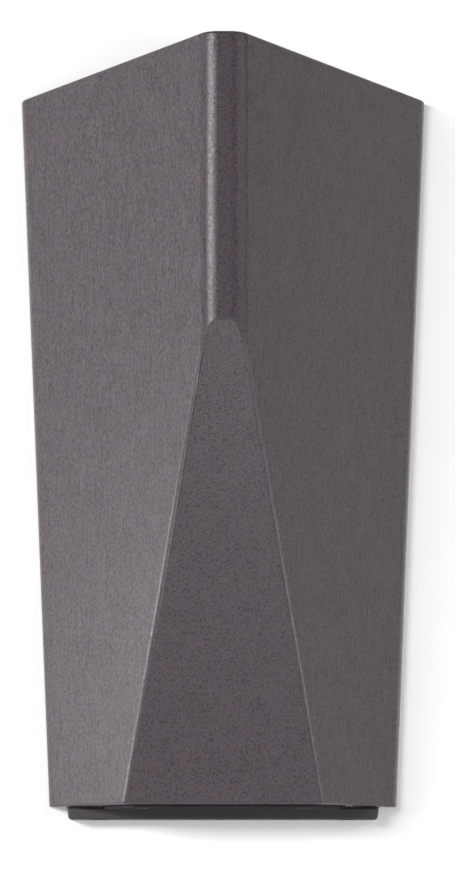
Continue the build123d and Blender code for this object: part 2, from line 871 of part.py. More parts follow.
def board_slab(top, thickness):
    """Slab of the light source's board with its screw and lead holes, down from a height."""
    with BuildPart() as slab:
        with BuildSketch(level(top)):
            with Locations((0, -chamber_middle)):
                Rectangle(2 * board_half, board_width)
            with Locations(*board_screw_points):
                Circle(board_screw_radius + lead_hole_gap, mode=Mode.SUBTRACT)
            with Locations(*lead_points):
                Circle(lead_radius + lead_hole_gap, mode=Mode.SUBTRACT)
        extrude(amount=-thickness)
    return slab.part


board_top = chamber_ceiling - pad_thickness
board_bottom = board_top - board_thickness

with BuildPart() as thermal_pad:
    add(board_slab(chamber_ceiling, pad_thickness))

with BuildPart() as led_board:
    add(board_slab(board_top, board_thickness))

with BuildPart() as led_packages:
    with BuildSketch(level(board_bottom)):
        with Locations((0, -chamber_middle)):
            with GridLocations(package_pitch, 0, package_count, 1):
                Rectangle(package_length, package_width)
    extrude(amount=-package_thickness)

board_screw = machine_screw(board_screw_radius, board_screw_length, board_head_radius, board_head_height)
with BuildPart() as led_board_screws:
    with Locations(underside(board_bottom)):
        with Locations(*both_sides(board_screw_x, chamber_middle)):
            add(board_screw)


def reflector_cone(margin, low, high):
    """Tapered body between the reflector's mouth and its throat, grown by the margin."""
    with BuildPart() as cone:
        for height, length, width in (
            (low, reflector_mouth_length, reflector_mouth_width),
            (high, 2 * throat_half, reflector_throat_width),
        ):
            with BuildSketch(level(height)):
                with Locations((0, -chamber_middle)):
                    Rectangle(length + 2 * margin, width + 2 * margin)
        loft(ruled=True)
    return cone.part


reflector_foot = chamber_foot + reflector_gap
reflector_top = board_bottom - reflector_gap
with BuildPart() as reflector:
    add(reflector_cone(reflector_wall, reflector_foot, reflector_top))
    with BuildSketch(level(reflector_foot)):
        with Locations((0, -chamber_middle)):
            Rectangle(
                reflector_mouth_length + 2 * (reflector_wall + reflector_flange),
                reflector_mouth_width + 2 * reflector_flange,
            )
    extrude(amount=reflector_wall)
    add(reflector_cone(0, reflector_foot, reflector_top), mode=Mode.SUBTRACT)

# Frame, diffuser and gasket
with BuildPart() as diffuser_frame:
    add(chamber_prism(-optic_frame_drop, frame_top + optic_frame_drop))
    flange_height = tab_bottom - flange_gap + optic_frame_drop
    add(rounded_prism(flange_points(), -optic_frame_drop, flange_height, chamber_corner_radius))
    with BuildSketch(level(frame_top)):
        with Locations((0, -chamber_middle)):
            RectangleRounded(
                diffuser_length + 2 * diffuser_gap, diffuser_width + 2 * diffuser_gap, optic_corner_radius
            )
    extrude(amount=-diffuser_thickness, mode=Mode.SUBTRACT)
    with BuildSketch(level(frame_top)):
        with Locations((0, -chamber_middle)):
            RectangleRounded(
                diffuser_length - 2 * window_border, diffuser_width - 2 * window_border, optic_corner_radius
            )
        with Locations(*post_points):
            Circle(frame_screw_radius + clearance_gap)
    extrude(amount=-frame_top - optic_frame_drop, mode=Mode.SUBTRACT)
    with BuildSketch(level(frame_seat)):
        with Locations(*post_points):
            Circle(frame_head_radius + clearance_gap)
    extrude(amount=-frame_seat - optic_frame_drop, mode=Mode.SUBTRACT)

with BuildPart() as diffuser:
    with BuildSketch(level(frame_top)):
        with Locations((0, -chamber_middle)):
            RectangleRounded(diffuser_length, diffuser_width, optic_corner_radius)
    extrude(amount=-diffuser_thickness)

with BuildPart() as diffuser_gasket:
    add(chamber_prism(frame_top, optic_gasket_thickness))
    with BuildSketch(level(frame_top)):
        with Locations((0, -chamber_middle)):
            RectangleRounded(
                diffuser_length - 2 * optic_gasket_overlap,
                diffuser_width - 2 * optic_gasket_overlap,
                optic_corner_radius,
            )
        with Locations(*post_points):
            Circle(frame_screw_radius + clearance_gap)
    extrude(amount=optic_gasket_thickness, mode=Mode.SUBTRACT)

frame_screw = machine_screw(frame_screw_radius, frame_screw_length, frame_head_radius, frame_head_height)
with BuildPart() as diffuser_frame_screws:
    with Locations(underside(frame_seat)):
        with Locations(*both_sides(frame_screw_x, chamber_middle)):
            add(frame_screw)


# Driver

driver_front = driver_rear + driver_depth
driver_top_height = driver_foot_height + driver_length
driver_lead_depth = driver_rear + driver_depth / 2
live_entry_x = -driver_width / 4
neutral_entry_x = driver_width / 8
positive_exit_x = -driver_width / 8
negative_exit_x = positive_exit_x - 1.5 * lead_pitch

with BuildPart() as driver_case:
    with BuildSketch(upright(driver_rear)):
        with Locations((0, up(driver_middle))):
            RectangleRounded(driver_width, driver_length, driver_corner_radius)
    extrude(amount=driver_depth)
    with BuildSketch(upright(driver_rear)):
        with Locations((0, up(driver_middle))):
            RectangleRounded(driver_width + 2 * driver_ear_width, driver_ear_height, driver_ear_radius)
        with Locations(*driver_screw_points):
            Circle(driver_screw_radius + clearance_gap, mode=Mode.SUBTRACT)
    extrude(amount=driver_ear_thickness)
    with BuildSketch(level(driver_foot_height)):
        with Locations((live_entry_x, -driver_lead_depth), (neutral_entry_x, -driver_lead_depth)):
            Circle(lead_radius + lead_hole_gap)
    extrude(amount=lead_tuck + overrun, mode=Mode.SUBTRACT)
    with BuildSketch(level(driver_top_height)):
        with Locations((positive_exit_x, -driver_lead_depth), (negative_exit_x, -driver_lead_depth)):
            Circle(lead_radius + lead_hole_gap)
    extrude(amount=-lead_tuck - overrun, mode=Mode.SUBTRACT)

with BuildPart() as driver_lid:
    with BuildSketch(upright(driver_front)):
        with Locations((0, up(driver_middle))):
            RectangleRounded(driver_width, driver_length, driver_corner_radius)
    extrude(amount=driver_lid_thickness)
    fillet(driver_lid.edges().group_by(Axis.Y)[0], driver_lid_edge_radius)

driver_screw = machine_screw(driver_screw_radius, driver_screw_length, driver_head_radius, driver_head_height)
with BuildPart() as driver_screws:
    with Locations(upright(driver_rear + driver_ear_thickness)):
        with Locations(*driver_screw_points):
            add(driver_screw)


# Terminal block

pole_x = [terminal_pitch * (pole - (terminal_poles - 1) / 2) for pole in range(terminal_poles)]
pole_points = [(x, -terminal_axis_depth) for x in pole_x]
terminal_screw_points = [
    (x, up(terminal_middle) + side * terminal_screw_spacing / 2) for x in pole_x for side in (-1, 1)
]
terminal_screw_seat = terminal_axis_depth + lead_radius + fit_gap + terminal_screw_length
insert_foot = terminal_middle - insert_length / 2

with BuildPart() as terminal_block:
    with BuildSketch(level(terminal_foot_height)):
        with Locations((0, -terminal_rear)):
            Rectangle(terminal_width, terminal_base_thickness, align=(Align.CENTER, Align.MAX))
        with Locations(*pole_points):
            Circle(terminal_barrel_radius)
        with Locations(*[(x, -terminal_rear) for x in pole_x]):
            Rectangle(
                terminal_tower_width, terminal_tower_depth - terminal_rear, align=(Align.CENTER, Align.MAX)
            )
    extrude(amount=terminal_height)
    with BuildSketch(level(insert_foot)):
        with Locations(*pole_points):
            Circle(insert_radius + thread_gap)
    extrude(amount=insert_length, mode=Mode.SUBTRACT)
    with BuildSketch(level(terminal_foot_height)):
        with Locations(*pole_points):
            Circle(insert_bore_radius)
    extrude(amount=terminal_height, mode=Mode.SUBTRACT)
    with BuildSketch(upright(terminal_tower_depth)):
        with Locations(*terminal_screw_points):
            Circle(terminal_head_radius + clearance_gap)
    extrude(amount=terminal_screw_seat - terminal_tower_depth, mode=Mode.SUBTRACT)
    with BuildSketch(upright(terminal_screw_seat)):
        with Locations(*terminal_screw_points):
            Circle(terminal_screw_radius + thread_gap)
    extrude(amount=terminal_axis_depth - terminal_screw_seat, mode=Mode.SUBTRACT)
    fixing_seat = terminal_rear + terminal_base_thickness
    with BuildSketch(upright(fixing_seat)):
        with Locations(*terminal_fixing_points):
            Circle(terminal_fixing_head + clearance_gap)
    extrude(amount=terminal_tower_depth - fixing_seat, mode=Mode.SUBTRACT)
    with BuildSketch(upright(fixing_seat)):
        with Locations(*terminal_fixing_points):
            Circle(terminal_fixing_radius + clearance_gap)
    extrude(amount=-terminal_base_thickness, mode=Mode.SUBTRACT)

with BuildPart() as terminal_inserts:
    with BuildSketch(level(insert_foot)):
        with Locations(*pole_points):
            Circle(insert_radius)
            Circle(insert_bore_radius, mode=Mode.SUBTRACT)
    extrude(amount=insert_length)
    with BuildSketch(upright(terminal_axis_depth)):
        with Locations(*terminal_screw_points):
            Circle(terminal_screw_radius + thread_gap)
    extrude(amount=insert_radius + overrun, mode=Mode.SUBTRACT)

terminal_screw = machine_screw(
    terminal_screw_radius, terminal_screw_length, terminal_head_radius, terminal_head_height
)
with BuildPart() as terminal_screws:
    with Locations(upright(terminal_screw_seat)):
        with Locations(*terminal_screw_points):
            add(terminal_screw)

fixing_screw = machine_screw(
    terminal_fixing_radius,
    terminal_fixing_length,
    terminal_fixing_head,
    terminal_fixing_head_height,
)
with BuildPart() as terminal_block_screws:
    with Locations(upright(fixing_seat)):
        with Locations(*terminal_fixing_points):
            add(fixing_screw)


# Earth connection: ring tag, washer and screw on a boss of the base

tag_front = earth_boss_depth + tag_thickness
tag_neck_foot = up(earth_height) - tag_radius - tag_neck_length
barrel_depth = earth_boss_depth + tag_barrel_radius
with BuildPart() as earth_ring_tag:
    with BuildSketch(upright(earth_boss_depth)):
        with Locations(earth_point):
            Circle(tag_radius)
        with Locations((earth_x, tag_neck_foot)):
            Rectangle(tag_neck_width, tag_radius + tag_neck_length, align=(Align.CENTER, Align.MIN))
        with Locations(earth_point):
            Circle(earth_screw_radius + clearance_gap, mode=Mode.SUBTRACT)
    extrude(amount=tag_thickness)
    with BuildSketch(Plane.XY.offset(tag_neck_foot)):
        with Locations((earth_x, -barrel_depth)):
            Circle(tag_barrel_radius)
    extrude(amount=-tag_barrel_length)
    with BuildSketch(Plane.XY.offset(tag_neck_foot)):
        with Locations((earth_x, -barrel_depth)):
            Rectangle(tag_neck_width, 2 * tag_barrel_radius)
    extrude(amount=-tag_thickness)
    with BuildSketch(Plane.XY.offset(tag_neck_foot - tag_thickness)):
        with Locations((earth_x, -barrel_depth)):
            Circle(lead_radius + fit_gap)
    extrude(amount=-tag_barrel_length + tag_thickness, mode=Mode.SUBTRACT)

with BuildPart() as earth_washer:
    with BuildSketch(upright(tag_front)):
        with Locations(earth_point):
            Circle(earth_washer_radius)
            Circle(earth_screw_radius + clearance_gap, mode=Mode.SUBTRACT)
    extrude(amount=earth_washer_thickness)

earth_bolt = machine_screw(earth_screw_radius, earth_screw_length, earth_head_radius, earth_head_height)
with BuildPart() as earth_screw:
    with Locations(upright(tag_front + earth_washer_thickness)):
        with Locations(earth_point):
            add(earth_bolt)


# Leads. Each route is a list of points from the piece it leaves to the piece it reaches.

def lead(points):
    """Round lead of straight runs and tangent arcs through the points of its route."""
    radii = corner_radii(points)
    print("lead bend radii", [round(radius, 1) for radius in radii])
    with BuildPart() as body:
        with BuildLine() as route:
            FilletPolyline(*points, radius=radii)
        start = Vector(*points[0])
        with BuildSketch(Plane(origin=start, z_dir=Vector(*points[1]) - start)):
            Circle(lead_radius)
        sweep()
    print("lead length", round(route.wire().length, 1), "volume", round(body.part.volume, 1))
    return body.part


terminal_top = terminal_foot_height + terminal_height
tucked_height = terminal_middle - lead_tuck / 4
live_x, neutral_x, earth_pole_x = pole_x

live_route = [
    (live_x, -terminal_axis_depth, up(tucked_height)),
    (live_x, -terminal_axis_depth, up(terminal_top + 5)),
    (live_entry_x, -driver_lead_depth, up(driver_foot_height - 7)),
    (live_entry_x, -driver_lead_depth, up(driver_foot_height + lead_tuck)),
]
neutral_route = [
    (neutral_x, -terminal_axis_depth, up(tucked_height)),
    (neutral_x, -terminal_axis_depth, up(terminal_top + 4)),
    (neutral_entry_x, -driver_lead_depth, up(driver_foot_height - 8)),
    (neutral_entry_x, -driver_lead_depth, up(driver_foot_height + lead_tuck)),
]
earth_route = [
    (earth_pole_x, -terminal_axis_depth, up(tucked_height)),
    (earth_pole_x, -terminal_axis_depth, up(terminal_top + 4)),
    (earth_x, -barrel_depth, up(terminal_top + 12)),
    (earth_x, -barrel_depth, tag_neck_foot - tag_thickness - fit_gap),
]

with BuildPart() as live_lead:
    add(lead(live_route))

with BuildPart() as neutral_lead:
    add(lead(neutral_route))

with BuildPart() as earth_lead:
    add(lead(earth_route))

lead_foot = board_bottom - lead_end
positive_route = [
    (positive_exit_x, -driver_lead_depth, up(driver_top_height - lead_tuck)),
    (positive_exit_x, -driver_lead_depth, up(driver_top_height + 11)),
    ((positive_exit_x + positive_x) / 2, -driver_lead_depth, up(driver_top_height + 17)),
    (positive_x, -driver_lead_depth, up(driver_top_height + 10)),
    (positive_x - 0.6, -driver_lead_depth - 0.5, up(driver_top_height - 12)),
    (positive_x + 0.3, -driver_lead_depth, up(driver_top_height - 50)),
    (positive_x - 0.5, -driver_lead_depth - 0.6, up(driver_top_height - 90)),
    (positive_x, -chamber_middle, up(chamber_top + 30)),
    (positive_x, -chamber_middle, up(lead_foot)),
]
negative_route = [
    (negative_exit_x, -driver_lead_depth, up(driver_top_height - lead_tuck)),
    (negative_exit_x, -driver_lead_depth, up(driver_top_height + 7)),
    ((negative_exit_x + negative_x) / 2, -driver_lead_depth, up(driver_top_height + 12)),
    (negative_x, -driver_lead_depth, up(driver_top_height + 6)),
    (negative_x - 0.2, -driver_lead_depth - 0.4, up(driver_top_height - 9)),
    (negative_x + 0.4, -driver_lead_depth + 0.3, up(driver_top_height - 42)),
    (negative_x - 0.3, -driver_lead_depth - 0.4, up(driver_top_height - 86)),
    (negative_x, -chamber_middle, up(chamber_top + 26)),
    (negative_x, -chamber_middle, up(lead_foot)),
]

with BuildPart() as led_positive_lead:
    add(lead(positive_route))

with BuildPart() as led_negative_lead:
    add(lead(negative_route))


pieces = {
    "front_housing": front_housing,
    "wall_base": wall_base,
    "wall_gasket": wall_gasket,
    "housing_seal": housing_seal,
    "cable_grommet": cable_grommet,
    "locking_screws": locking_screws,
    "locking_washers": locking_washers,
    "locating_pins": locating_pins,
    "light_chamber": light_chamber,
    "chamber_screws": chamber_screws,
    "lead_grommet": lead_grommet,
    "thermal_pad": thermal_pad,
    "led_board": led_board,
    "led_packages": led_packages,
    "led_board_screws": led_board_screws,
    "reflector": reflector,
    "diffuser_frame": diffuser_frame,
    "diffuser": diffuser,
    "diffuser_gasket": diffuser_gasket,
    "diffuser_frame_screws": diffuser_frame_screws,
    "driver_case": driver_case,
    "driver_lid": driver_lid,
    "driver_screws": driver_screws,
    "terminal_block": terminal_block,
    "terminal_inserts": terminal_inserts,
    "terminal_screws": terminal_screws,
    "terminal_block_screws": terminal_block_screws,
    "earth_ring_tag": earth_ring_tag,
    "earth_washer": earth_washer,
    "earth_screw": earth_screw,
    "live_lead": live_lead,
    "neutral_lead": neutral_lead,
    "earth_lead": earth_lead,
    "led_positive_lead": led_positive_lead,
    "led_negative_lead": led_negative_lead,
}

os.makedirs("parts", exist_ok=True)
for name, piece in pieces.items():
    piece.part.label = name
    export_step(piece.part, f"parts/{name}.step")
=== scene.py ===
"""Looks of an outdoor wall light: its powder coats, castings, optics and wiring, in a plain studio."""

import logging
from abc import ABC, abstractmethod
from collections.abc import Iterable
from dataclasses import dataclass
from enum import Enum
from math import cos, pi, radians, sin
from typing import Any

import bmesh
import bpy
from mathutils import Matrix, Vector


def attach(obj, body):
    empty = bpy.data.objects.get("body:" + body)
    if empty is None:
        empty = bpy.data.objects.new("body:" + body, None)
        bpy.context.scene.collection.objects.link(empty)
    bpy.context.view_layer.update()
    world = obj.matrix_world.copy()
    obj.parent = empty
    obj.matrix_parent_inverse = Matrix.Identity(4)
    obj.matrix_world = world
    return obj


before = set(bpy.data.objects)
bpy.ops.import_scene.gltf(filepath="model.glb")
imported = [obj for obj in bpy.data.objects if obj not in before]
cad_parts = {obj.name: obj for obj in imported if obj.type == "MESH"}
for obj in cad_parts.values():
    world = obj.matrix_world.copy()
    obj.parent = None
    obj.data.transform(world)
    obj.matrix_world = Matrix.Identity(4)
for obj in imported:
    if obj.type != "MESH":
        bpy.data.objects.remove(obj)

MM = 0.001
# Where nearly all of a noise's values lie, and their middle
NOISE_LOW = 0.3
NOISE_MIDDLE = 0.5
NOISE_HIGH = 0.7
# Faces that meet more steeply than this, in degrees, show a crisp edge
CRISP_EDGE = 35
# Steps of a full turn
RING_STEPS = 40
WHITE = (1, 1, 1, 1)
LOG = logging.getLogger("wall_light")


def linear(code: str) -> tuple[float, float, float, float]:
    """Turn an sRGB hex colour into linear values.

    Args:
        code: Six hex digits, red first.

    Returns:
        Red, green and blue in linear light, and an alpha of one.
    """
    values = []
    for start in (0, 2, 4):
        share = int(code[start : start + 2], 16) / 255
        values.append(share / 12.92 if share <= 0.04045 else ((share + 0.055) / 1.055) ** 2.4)
    return (values[0], values[1], values[2], 1.0)


def per_metre(size_mm: float) -> float:
    """Scale of a noise or cell pattern whose features are this many millimetres apart."""
    return 1 / (size_mm * MM)


def in_use(sockets: Iterable[bpy.types.NodeSocket], name: str = "") -> bpy.types.NodeSocket:
    """Find the first socket that its node's settings leave in use.

    Args:
        sockets: The node's inputs or outputs.
        name: Name that the socket must have; any will do where it is empty.

    Returns:
        The socket.
    """
    return next(socket for socket in sockets if socket.enabled and name in ("", socket.name))


def add_node(
    tree: bpy.types.NodeTree, kind: str, links: dict[str | int, Any] | None = None, **settings: Any
) -> bpy.types.Node:
    """Add a shader node with its settings and links.

    Args:
        tree: Node tree that gets the node.
        kind: Blender's name of the node's type.
        links: Input name or number to the node or socket that feeds it, or to a plain value.
        **settings: Properties of the node itself.

    Returns:
        The new node.
    """
    node = tree.nodes.new(kind)
    for name, value in settings.items():
        setattr(node, name, value)
    for key, value in (links or {}).items():
        entry = node.inputs[key] if isinstance(key, int) else in_use(node.inputs, key)
        if isinstance(value, bpy.types.Node):
            value = in_use(value.outputs)
        if isinstance(value, bpy.types.NodeSocket):
            tree.links.new(value, entry)
        else:
            entry.default_value = value
    return node


# Finishes


class Grain(Enum):
    """How bare metal got its relief."""

    CAST = "cast"
    TURNED = "turned"


@dataclass(frozen=True)
class Finish(ABC):
    """What all finishes have; each kind adds what varies over its surface.

    Attributes:
        name: The material's name.
        colour: Its main colour, an sRGB hex value.
        roughness: Its middle roughness.
        smoother: How far the roughness falls in places.
        rougher: How far it rises in others.
        metallic: One for bare metal.
        ior: Index of refraction, which a metal leaves alone.
        gloss: Strength of the mirror-like part, 0.5 for a plain surface.
        through: Share of the light that goes in.
    """

    name: str
    colour: str
    roughness: float = 0.5
    smoother: float = 0.05
    rougher: float = 0.08
    metallic: float = 0.0
    ior: float = 1.5
    gloss: float = 0.5
    through: float = 0.0

    def material(self) -> bpy.types.Material:
        """The finish as a Blender material, made once."""
        made = bpy.data.materials.get(self.name)
        if made is not None:
            return made
        made = bpy.data.materials.new(self.name)
        made.use_nodes = True
        tree = made.node_tree
        tree.nodes.clear()
        shader = add_node(tree, "ShaderNodeBsdfPrincipled")
        shader.inputs["Base Color"].default_value = linear(self.colour)
        shader.inputs["Roughness"].default_value = self.roughness
        shader.inputs["Metallic"].default_value = self.metallic
        if not self.metallic:
            shader.inputs["IOR"].default_value = self.ior
            shader.inputs["Specular IOR Level"].default_value = self.gloss
            shader.inputs["Transmission Weight"].default_value = self.through
        place = add_node(tree, "ShaderNodeTexCoord").outputs["Object"]
        for name, node in self.surface(tree, place).items():
            tree.links.new(in_use(node.outputs), shader.inputs[name])
        add_node(tree, "ShaderNodeOutputMaterial", {"Surface": shader})
        made.diffuse_color = linear(self.colour)
        return made

    @abstractmethod
    def surface(self, tree: bpy.types.NodeTree, place: bpy.types.NodeSocket) -> dict[str, bpy.types.Node]:
        """Draw what varies over the surface.

        Args:
            tree: The material's node tree.
            place: Object coordinates in metres.

        Returns:
            Name of each shader input that varies, to the node that feeds it.
        """


@dataclass(frozen=True)
class PowderCoat(Finish):
    """Fine-texture polyester powder on a casting: satin, with sand-like grain.

    The sides were ground lengthwise before coating, which draws their grain out upright and
    leaves faint streaks. Real grains are about a quarter of a millimetre apart, too fine to
    show, so they are drawn twice as coarse. Their pits carry painted shade and their crests a
    painted highlight.

    Attributes:
        lit_crest_colour: Colour of the grain's crests, paler by a painted highlight.
        shaded_pit_colour: Colour of its pits, darker by painted shade.
        grain_octaves: Octaves of finer noise that the grain has, as the other patterns have theirs.
        drawn_length_mm: How long the grain is on the ground sides.
        streak_share: How much of the ground grain is long streaks.
        ground_range: How far from a noise's middle the ground grain is at its darkest and palest.
        side_range: How far sideways a face looks where the ground grain starts, and where it is full.
        cloud_share: How much the clouds shift the grain's colour.
        colour_range: Values of the grain that give the shaded pit colour and the lit crest colour.
        hue_range: Values of the hue clouds that give the warm and the cool tint.
    """

    smoother: float = 0.08
    # Crest and pit colours: the coat's colour with a painted highlight on the crests and painted shade in
    # the pits
    lit_crest_colour: str = "645A62"
    shaded_pit_colour: str = "1C181B"
    grain_mm: float = 0.5
    grain_depth_mm: float = 0.02
    grain_octaves: float = 3.0
    drawn_length_mm: float = 1.1
    streak_length_mm: float = 12.0
    streak_octaves: float = 2.0
    streak_share: float = 0.3
    ground_range: float = 0.36
    side_range: tuple[float, float] = (0.4, 0.7)
    cloud_mm: float = 9.0
    cloud_octaves: float = 3.0
    cloud_share: float = 0.08
    colour_range: tuple[float, float] = (0.29, 0.79)
    hue_cloud_mm: float = 4.0
    hue_octaves: float = 1.0
    hue_range: tuple[float, float] = (0.4, 0.6)
    warm_hue: str = "FFFDF6"
    cool_hue: str = "FDFBFF"

    def surface(self, tree: bpy.types.NodeTree, place: bpy.types.NodeSocket) -> dict[str, bpy.types.Node]:
        """Even grain, drawn out upright on the slanting sides, with crests that shine more and are painted
        paler as a highlight, and pits painted darker as shade.
        """
        links = {"Vector": place, "Scale": per_metre(self.grain_mm), "Detail": self.grain_octaves}
        grain = add_node(tree, "ShaderNodeTexNoise", links)
        links = {"Factor": self.sides(tree), "A": grain, "B": self.ground_grain(tree, place)}
        texture = add_node(tree, "ShaderNodeMix", links, data_type="FLOAT")
        links = {
            "Value": grain,
            "From Min": NOISE_LOW,
            "From Max": NOISE_HIGH,
            "To Min": self.roughness + self.rougher,
            "To Max": self.roughness - self.smoother,
        }
        rough = add_node(tree, "ShaderNodeMapRange", links)
        bump = add_node(tree, "ShaderNodeBump", {"Height": texture, "Distance": self.grain_depth_mm * MM})
        return {"Base Color": self.tone(tree, place, texture), "Roughness": rough, "Normal": bump}

    def sides(self, tree: bpy.types.NodeTree) -> bpy.types.Node:
        """Tell the ground sides from the rest: one on faces that look sideways, else zero."""
        normal = add_node(tree, "ShaderNodeTexCoord").outputs["Normal"]
        across = add_node(tree, "ShaderNodeSeparateXYZ", {"Vector": normal}).outputs["X"]
        sideways = add_node(tree, "ShaderNodeMath", {0: across}, operation="ABSOLUTE")
        start, end = self.side_range
        return add_node(tree, "ShaderNodeMapRange", {"Value": sideways, "From Min": start, "From Max": end})

    def ground_grain(self, tree: bpy.types.NodeTree, place: bpy.types.NodeSocket) -> bpy.types.Node:
        """Draw the grain of the ground sides.

        Args:
            tree: The material's node tree.
            place: Object coordinates in metres.

        Returns:
            Node that mixes short upright grains with long faint streaks.
        """
        short = (self.drawn_length_mm, self.grain_octaves)
        long = (self.streak_length_mm, self.streak_octaves)
        grains = []
        for length_mm, octaves in (short, long):
            links = {"Vector": place, "Scale": (1.0, 1.0, self.grain_mm / length_mm)}
            upright = add_node(tree, "ShaderNodeMapping", links)
            links = {"Vector": upright, "Scale": per_metre(self.grain_mm), "Detail": octaves}
            grains.append(add_node(tree, "ShaderNodeTexNoise", links))
        links = {"Factor": self.streak_share, "A": grains[0], "B": grains[1]}
        mixed = add_node(tree, "ShaderNodeMix", links, data_type="FLOAT")
        links = {
            "Value": mixed,
            "From Min": NOISE_MIDDLE - self.ground_range,
            "From Max": NOISE_MIDDLE + self.ground_range,
        }
        return add_node(tree, "ShaderNodeMapRange", links)

    def tone(
        self, tree: bpy.types.NodeTree, place: bpy.types.NodeSocket, texture: bpy.types.Node
    ) -> bpy.types.Node:
        """Colour the grain with painted shade in its pits and a painted highlight on its crests, and with
        clouds that are a little paler, warmer or cooler.

        Args:
            tree: The material's node tree.
            place: Object coordinates in metres.
            texture: The grain all over the surface.

        Returns:
            Node that gives the colour.
        """
        links = {"Vector": place, "Scale": per_metre(self.cloud_mm), "Detail": self.cloud_octaves}
        cloud = add_node(tree, "ShaderNodeTexNoise", links)
        links = {0: cloud, 1: self.cloud_share, 2: texture}
        clouded = add_node(tree, "ShaderNodeMath", links, operation="MULTIPLY_ADD")
        start, end = self.colour_range
        # Painted shade in the grain's pits and a painted highlight on its crests, following the bump
        relief_shading = add_node(tree, "ShaderNodeMapRange", {"Value": clouded, "From Min": start, "From Max": end})
        links = {"Factor": relief_shading, "A": linear(self.shaded_pit_colour), "B": linear(self.lit_crest_colour)}
        colour = add_node(tree, "ShaderNodeMix", links, data_type="RGBA")
        links = {"Vector": place, "Scale": per_metre(self.hue_cloud_mm), "Detail": self.hue_octaves}
        hue_cloud = add_node(tree, "ShaderNodeTexNoise", links)
        start, end = self.hue_range
        links = {"Value": hue_cloud, "From Min": start, "From Max": end}
        cooler = add_node(tree, "ShaderNodeMapRange", links)
        links = {"Factor": cooler, "A": linear(self.warm_hue), "B": linear(self.cool_hue)}
        hue = add_node(tree, "ShaderNodeMix", links, data_type="RGBA")
        return add_node(tree, "ShaderNodeVectorMath", {0: colour, 1: hue}, operation="MULTIPLY")


@dataclass(frozen=True, kw_only=True)
class Metal(Finish):
    """Bare metal with the relief of how it was made.

    Turning rings are less than a tenth of a millimetre apart and are drawn coarser, so that they show.

    Attributes:
        shade: Colour of its duller patches.
        ring_share: How fast a turned grain changes sideways, against upwards.
        cloud_grains: How many grains wide its patches are.
    """

    shade: str
    smoother: float = 0.07
    rougher: float = 0.07
    grain: Grain = Grain.CAST
    grain_mm: float = 0.6
    grain_octaves: float = 4.0
    depth_mm: float = 0.03
    ring_share: float = 0.15
    cloud_grains: float = 12.0
    cloud_octaves: float = 2.0

    def surface(self, tree: bpy.types.NodeTree, place: bpy.types.NodeSocket) -> dict[str, bpy.types.Node]:
        """Orange-peel of a casting, or the fine rings of a turned part."""
        if self.grain is Grain.TURNED:
            links = {"Vector": place, "Scale": (self.ring_share, self.ring_share, 1.0)}
            place = add_node(tree, "ShaderNodeMapping", links).outputs["Vector"]
        links = {"Vector": place, "Scale": per_metre(self.grain_mm), "Detail": self.grain_octaves}
        grain = add_node(tree, "ShaderNodeTexNoise", links)
        cloud_mm = self.grain_mm * self.cloud_grains
        links = {"Vector": place, "Scale": per_metre(cloud_mm), "Detail": self.cloud_octaves}
        cloud = add_node(tree, "ShaderNodeTexNoise", links)
        links = {"Value": cloud, "From Min": NOISE_LOW, "From Max": NOISE_HIGH}
        patch = add_node(tree, "ShaderNodeMapRange", links)
        reach = {"To Min": self.roughness - self.smoother, "To Max": self.roughness + self.rougher}
        rough = add_node(tree, "ShaderNodeMapRange", links | reach)
        links = {"Factor": patch, "A": linear(self.shade), "B": linear(self.colour)}
        colour = add_node(tree, "ShaderNodeMix", links, data_type="RGBA")
        bump = add_node(tree, "ShaderNodeBump", {"Height": grain, "Distance": self.depth_mm * MM})
        return {"Base Color": colour, "Roughness": rough, "Normal": bump}


@dataclass(frozen=True, kw_only=True)
class Moulded(Finish):
    """Plastic or rubber from a spark-eroded mould: an even matt grain, slightly cloudy.

    An eroded grain is about a tenth of a millimetre wide and is drawn coarser, so that it shows.

    Attributes:
        shade: Colour of its clouds.
        cloud_grains: How many grains wide they are.
    """

    shade: str
    grain_mm: float = 0.25
    grain_octaves: float = 2.0
    depth_mm: float = 0.02
    cloud_grains: float = 25.0
    cloud_octaves: float = 3.0

    def surface(self, tree: bpy.types.NodeTree, place: bpy.types.NodeSocket) -> dict[str, bpy.types.Node]:
        """Fine grain, and a cloud in the colour where the melt has flowed."""
        links = {"Vector": place, "Scale": per_metre(self.grain_mm), "Detail": self.grain_octaves}
        grain = add_node(tree, "ShaderNodeTexNoise", links)
        cloud_mm = self.grain_mm * self.cloud_grains
        links = {"Vector": place, "Scale": per_metre(cloud_mm), "Detail": self.cloud_octaves}
        cloud = add_node(tree, "ShaderNodeTexNoise", links)
        links = {"Value": cloud, "From Min": NOISE_LOW, "From Max": NOISE_HIGH}
        flow = add_node(tree, "ShaderNodeMapRange", links)
        links = {
            "Value": grain,
            "From Min": NOISE_LOW,
            "From Max": NOISE_HIGH,
            "To Min": self.roughness - self.smoother,
            "To Max": self.roughness + self.rougher,
        }
        rough = add_node(tree, "ShaderNodeMapRange", links)
        links = {"Factor": flow, "A": linear(self.shade), "B": linear(self.colour)}
        colour = add_node(tree, "ShaderNodeMix", links, data_type="RGBA")
        bump = add_node(tree, "ShaderNodeBump", {"Height": grain, "Distance": self.depth_mm * MM})
        return {"Base Color": colour, "Roughness": rough, "Normal": bump}


